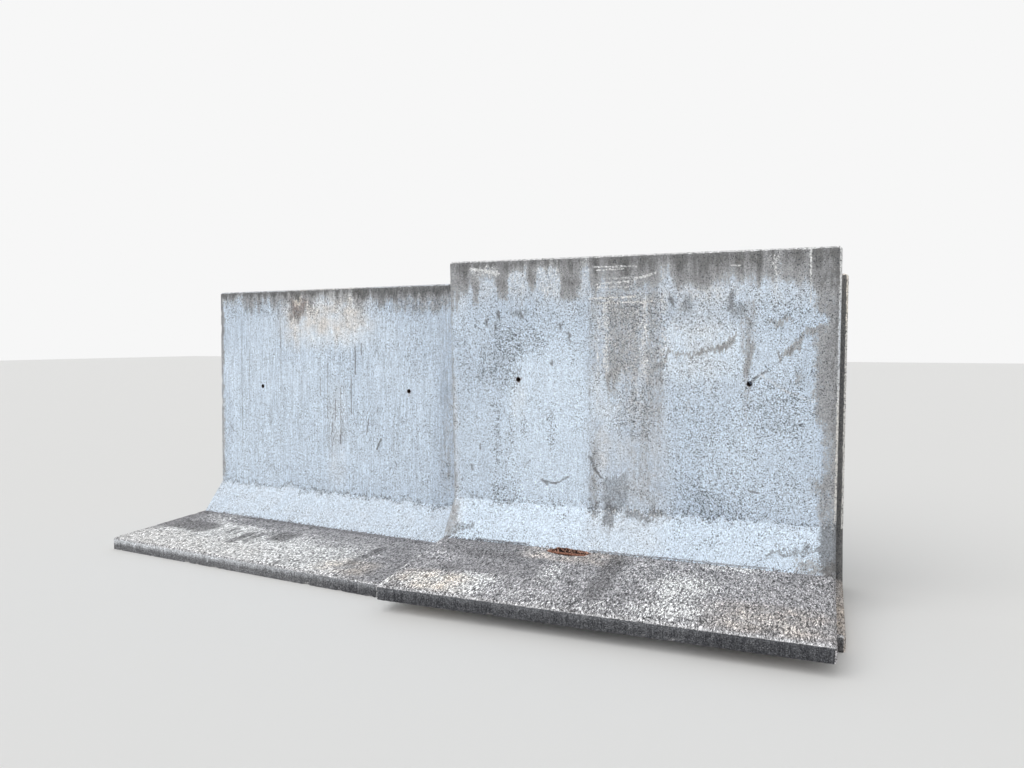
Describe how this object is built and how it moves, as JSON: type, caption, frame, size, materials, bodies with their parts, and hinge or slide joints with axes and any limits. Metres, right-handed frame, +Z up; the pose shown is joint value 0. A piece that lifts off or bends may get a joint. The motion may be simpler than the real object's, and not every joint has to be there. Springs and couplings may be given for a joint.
{
  "type": "l-shaped concrete retaining wall",
  "caption": "Stored set of precast L-shaped concrete retaining wall units with sloping haunches, flat feet and sleeved lifting holes, partly stacked on each other's feet.",
  "frame": {"origin": "middle of the group's footprint, on the ground", "axes": "+X along the rear and raised units to the right as seen from the feet, +Y from toes to stems, +Z up"},
  "size_m": [5.132, 1.6522, 2.1266],
  "materials": {
    "concrete": "weathered fair-faced concrete",
    "sleeve_steel": "rusty steel tube",
    "bar_steel": "rusty reinforcing bar"
  },
  "bodies": {
    "root": {"bare_reinforcing_bar": "bar_steel", "left_unit_left_sleeve": "sleeve_steel", "left_unit_right_sleeve": "sleeve_steel", "left_wall_unit": "concrete", "rear_unit_left_sleeve": "sleeve_steel", "rear_unit_right_sleeve": "sleeve_steel", "rear_wall_unit": "concrete", "right_unit_left_sleeve": "sleeve_steel", "right_unit_right_sleeve": "sleeve_steel", "right_wall_unit": "concrete"}
  },
  "joints": []
}
